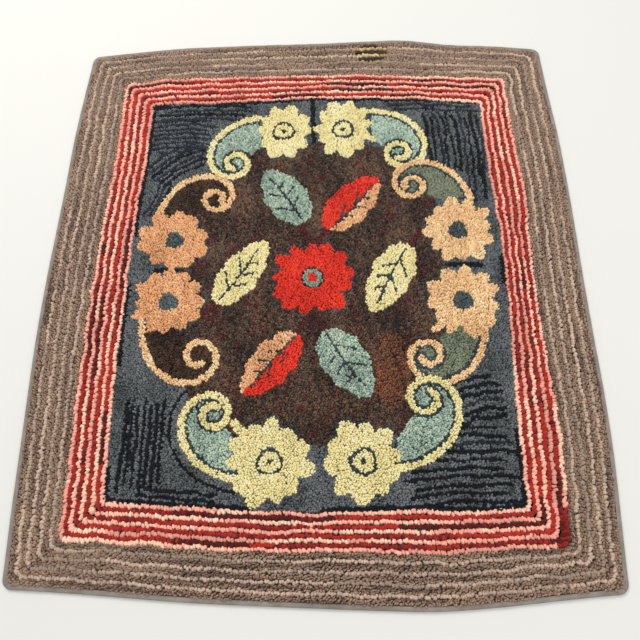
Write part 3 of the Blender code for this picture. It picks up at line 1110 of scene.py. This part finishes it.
def tape_profile():
    """Return the folded tape's section as insets from the rim and heights."""
    top = 2 * FOLD
    profile = [(TAPE_BACK, TAPE), (TAPE_BACK, 0.0), (FLAT_BACK, 0.0)]
    for step in range(FOLD_STEPS + 1):
        angle = math.radians(270 - 180 * step / FOLD_STEPS)
        profile.append((FOLD + FOLD * math.cos(angle), FOLD + FOLD * math.sin(angle)))
    profile += [(inset, top + CROWN_RISE) for inset in CROWN]
    profile.append((TAPE_FRONT, top - CROWN_RISE))
    profile += [(TAPE_FRONT, top - TAPE), (TAPE, top - TAPE), (TAPE, TAPE)]
    return profile


def make_binding(side, material):
    """Make one length of tape from mitre to mitre, with the slight waves of hand sewing."""
    name = "tape_" + side
    profile = tape_profile()
    points = []
    count = 0
    for at, (inset, height) in enumerate(profile):
        thread = np.array(side_points(line_inside_rim(inset), side, TAPE_STEPS, GAP / math.sqrt(2)))
        count = len(thread)
        lift = drift(thread[:, 0], thread[:, 1], TAPE_WAVES, at // 5) * (height > TAPE)
        for (x, y), rise in zip(thread, lift):
            points.append((x - MIDDLE[0], y - MIDDLE[1], height + rise))
    faces = []
    for at in range(len(profile)):
        after = (at + 1) % len(profile)
        for step in range(count - 1):
            here, there = at * count + step, after * count + step
            faces.append((here, there, there + 1, here + 1))
    faces.append(tuple(at * count for at in range(len(profile))))
    faces.append(tuple(at * count + count - 1 for at in reversed(range(len(profile)))))
    mesh = bpy.data.meshes.new(name)
    mesh.from_pydata(points, [], faces)
    mesh.materials.append(material)
    piece = link(name, mesh)
    bpy.ops.object.select_all(action="DESELECT")
    bpy.context.view_layer.objects.active = piece
    piece.select_set(True)
    bpy.ops.object.mode_set(mode="EDIT")
    bpy.ops.mesh.select_all(action="SELECT")
    bpy.ops.mesh.normals_make_consistent(inside=False)
    bpy.ops.object.mode_set(mode="OBJECT")
    bpy.ops.object.shade_smooth_by_angle(angle=math.radians(50))
    piece.select_set(False)
    return piece


def dress(piece, node):
    """Let a piece stand for one of the plain solids."""
    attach(piece, "root")
    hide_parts(node)


def make_rug():
    """Make every piece of the rug and put it in place of the plain solids."""
    drawing = draw_field()
    border, brown = hook_borders()
    field = np.vstack((hook_fill(drawing), brown))
    for number, (name, yarn) in enumerate(YARNS.items()):
        finish = yarn_material(name + " wool", yarn)
        for place, loops, rings in (("border", border, BORDER_RINGS), ("field", field, FIELD_RINGS)):
            own = loops[loops[:, -1] == number]
            if len(own):
                piece = make_loops(f"{name}_loops_{place}", own, rings, finish)
                dress(piece, "rug_body")
    foundation = make_foundation()
    dress(foundation, "rug_body")
    tape_finish = weave_material("binding tape", ("#857c6f", "#a0968a"), 420.0, 0.5)
    for side in SIDES:
        tape = make_binding(side, tape_finish)
        dress(tape, "binding_" + side)


# Floor, light and camera

def make_floor():
    bpy.ops.mesh.primitive_plane_add(size=12.0, location=(0.0, 0.0, -0.0002))
    floor = bpy.context.object
    floor.name = "floor"
    material, tree, shader = new_material("pale floor", 0.7, 0.0)
    shader.inputs["Base Color"].default_value = linear("#dcd8d0")
    floor.data.materials.append(material)


def make_light(name, place, size, power):
    light = bpy.data.lights.new(name, "AREA")
    light.shape = "DISK"
    light.size = size
    light.energy = power
    lamp = bpy.data.objects.new(name, light)
    lamp.location = place
    lamp.rotation_euler = (-Vector(place)).to_track_quat("-Z", "Y").to_euler()
    bpy.context.scene.collection.objects.link(lamp)


def make_camera():
    camera = bpy.data.cameras.new("camera")
    camera.lens = LENS
    camera.sensor_width = SENSOR
    seer = bpy.data.objects.new("camera", camera)
    down = math.radians(CAMERA_DOWN)
    yaw = math.radians(CAMERA_YAW)
    roll = math.radians(CAMERA_ROLL)
    ahead = Vector((-math.sin(yaw) * math.cos(down), math.cos(yaw) * math.cos(down), -math.sin(down)))
    right = Vector((math.cos(yaw), math.sin(yaw), 0.0))
    up = right.cross(ahead)
    turned_right = math.cos(roll) * right + math.sin(roll) * up
    turned_up = -math.sin(roll) * right + math.cos(roll) * up
    matrix = seer.matrix_world.copy()
    for row in range(3):
        matrix[row][0] = turned_right[row]
        matrix[row][1] = turned_up[row]
        matrix[row][2] = -ahead[row]
    matrix[0][3] = CAMERA_PLACE[0] - MIDDLE[0]
    matrix[1][3] = CAMERA_PLACE[1] - MIDDLE[1]
    matrix[2][3] = CAMERA_PLACE[2]
    seer.matrix_world = matrix
    bpy.context.scene.collection.objects.link(seer)
    bpy.context.scene.camera = seer


def make_studio():
    make_floor()
    make_light("window", place=(-1.2, 1.9, 2.6), size=1.6, power=66.0)
    make_light("fill", place=(1.6, -0.8, 2.4), size=2.2, power=22.0)
    world = bpy.data.worlds.new("room")
    world.use_nodes = True
    world.node_tree.nodes["Background"].inputs["Color"].default_value = linear("#e9edf2")
    world.node_tree.nodes["Background"].inputs["Strength"].default_value = 0.85
    bpy.context.scene.world = world
    bpy.context.scene.view_settings.view_transform = "Standard"
    make_camera()


make_rug()
make_studio()
bpy.context.view_layer.update()
